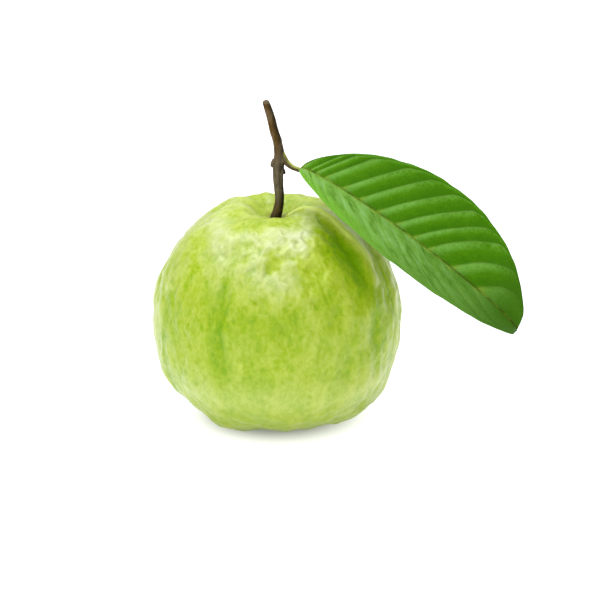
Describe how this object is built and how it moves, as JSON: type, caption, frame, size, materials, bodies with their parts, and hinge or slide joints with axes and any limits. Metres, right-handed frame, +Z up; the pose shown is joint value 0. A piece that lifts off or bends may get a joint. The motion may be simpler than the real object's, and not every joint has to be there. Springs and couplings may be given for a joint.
{
  "type": "guava",
  "caption": "Pale green guava with a lumpy skin, a short woody twig and a leaf, standing on its blossom end.",
  "frame": {"origin": "on the fruit's axis, in the plane that the fruit rests on", "axes": "+Z up along the fruit's axis, +X towards the side that the leaf spreads to"},
  "size_m": [0.1406, 0.095, 0.1245],
  "materials": {
    "skin": "waxy, lumpy and softly glossy",
    "bark": "rough dry bark",
    "leaf": "satin, veined",
    "dry_calyx": "dry and papery"
  },
  "bodies": {
    "root": {"fruit": "skin", "twig": "bark", "leaf": "leaf", "calyx": "dry_calyx"}
  },
  "joints": []
}
